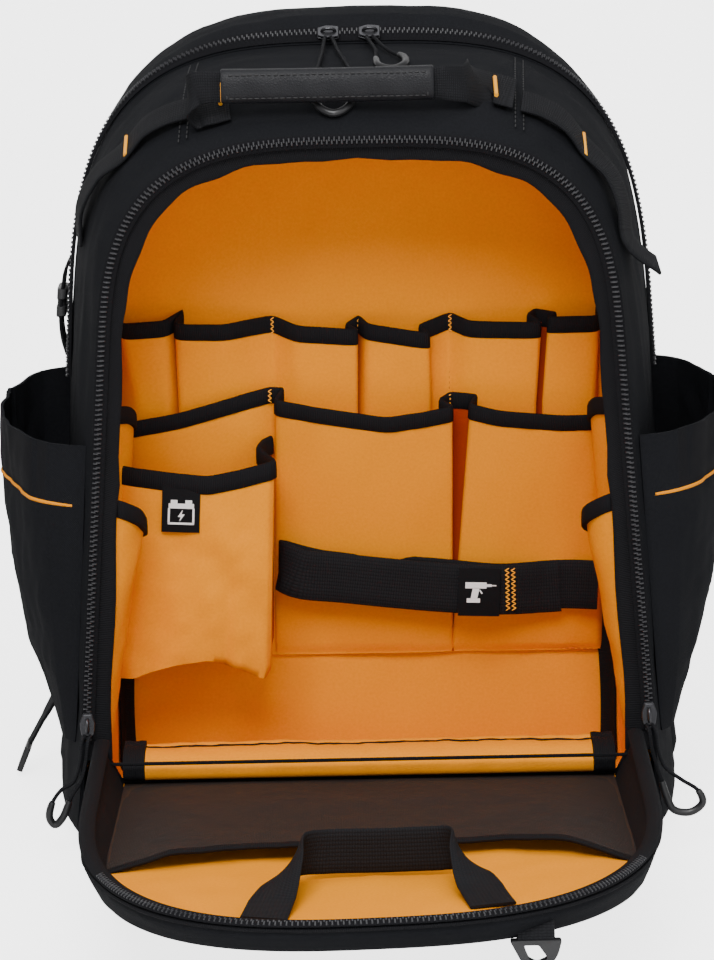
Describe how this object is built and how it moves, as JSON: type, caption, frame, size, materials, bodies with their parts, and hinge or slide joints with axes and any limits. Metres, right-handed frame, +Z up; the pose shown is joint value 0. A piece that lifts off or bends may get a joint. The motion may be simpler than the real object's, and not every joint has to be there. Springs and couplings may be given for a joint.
{
  "type": "tool backpack",
  "caption": "Open tool backpack standing on its base, front flap folded down on the floor, pockets, straps and zips shown.",
  "frame": {"origin": "middle of the base panel's underside, on the floor", "axes": "+Z up, +Y towards the wearer's back, +X to the right seen from the front"},
  "size_m": [0.4454, 0.6258, 0.482],
  "materials": {
    "black_cloth": "coarse woven black cloth",
    "orange_lining": "smooth woven orange lining",
    "binding": "ribbed black binding tape",
    "webbing": "ribbed black webbing and cord",
    "zip": "moulded black zip tape and teeth",
    "metal": "dark satin zip sliders",
    "mesh": "open black mesh",
    "leather": "smooth black grip sleeve",
    "hard_plastic": "moulded black plastic",
    "padding": "black cloth over foam",
    "label": "black woven label",
    "piping": "orange piping cord"
  },
  "bodies": {
    "root": {"main_shell": "black_cloth", "rear_shell": "black_cloth", "base_panel": "black_cloth", "flap_tray": "black_cloth", "side_pocket_left": "black_cloth", "side_pocket_right": "black_cloth", "divider": "orange_lining", "main_lining": "orange_lining", "lip": "orange_lining", "flap_lining": "orange_lining", "upper_pockets": "orange_lining", "lower_pockets": "orange_lining", "battery_pocket": "orange_lining", "wall_pocket_left": "orange_lining", "wall_pocket_right": "orange_lining", "mouth_facing": "binding", "lip_binding_left": "binding", "lip_binding_right": "binding", "flap_facing": "binding", "upper_binding": "binding", "lower_binding": "binding", "battery_binding": "binding", "side_band_left": "binding", "side_band_right": "binding", "flap_strap": "webbing", "drill_strap": "webbing", "handle_web_left": "webbing", "handle_web_right": "webbing", "daisy_left": "webbing", "daisy_right": "webbing", "mouth_left_pull": "webbing", "mouth_right_pull": "webbing", "rear_left_pull": "webbing", "rear_right_pull": "webbing", "lower_web_left": "webbing", "lower_web_right": "webbing", "loose_web_left": "webbing", "side_strap_left": "webbing", "mouth_zip": "zip", "rear_zip": "zip", "flap_zip": "zip", "mouth_slider_left": "metal", "mouth_slider_right": "metal", "rear_slider_left": "metal", "rear_slider_right": "metal", "mesh_pocket": "mesh", "handle_grip": "leather", "hook": "hard_plastic", "mouth_left_end": "hard_plastic", "mouth_right_end": "hard_plastic", "rear_left_end": "hard_plastic", "rear_right_end": "hard_plastic", "loose_stop_left": "hard_plastic", "back_panel": "padding", "shoulder_pad_left": "padding", "shoulder_pad_right": "padding", "battery_label": "label", "drill_label": "label", "side_piping_left": "piping", "side_piping_right": "piping"}
  },
  "joints": []
}
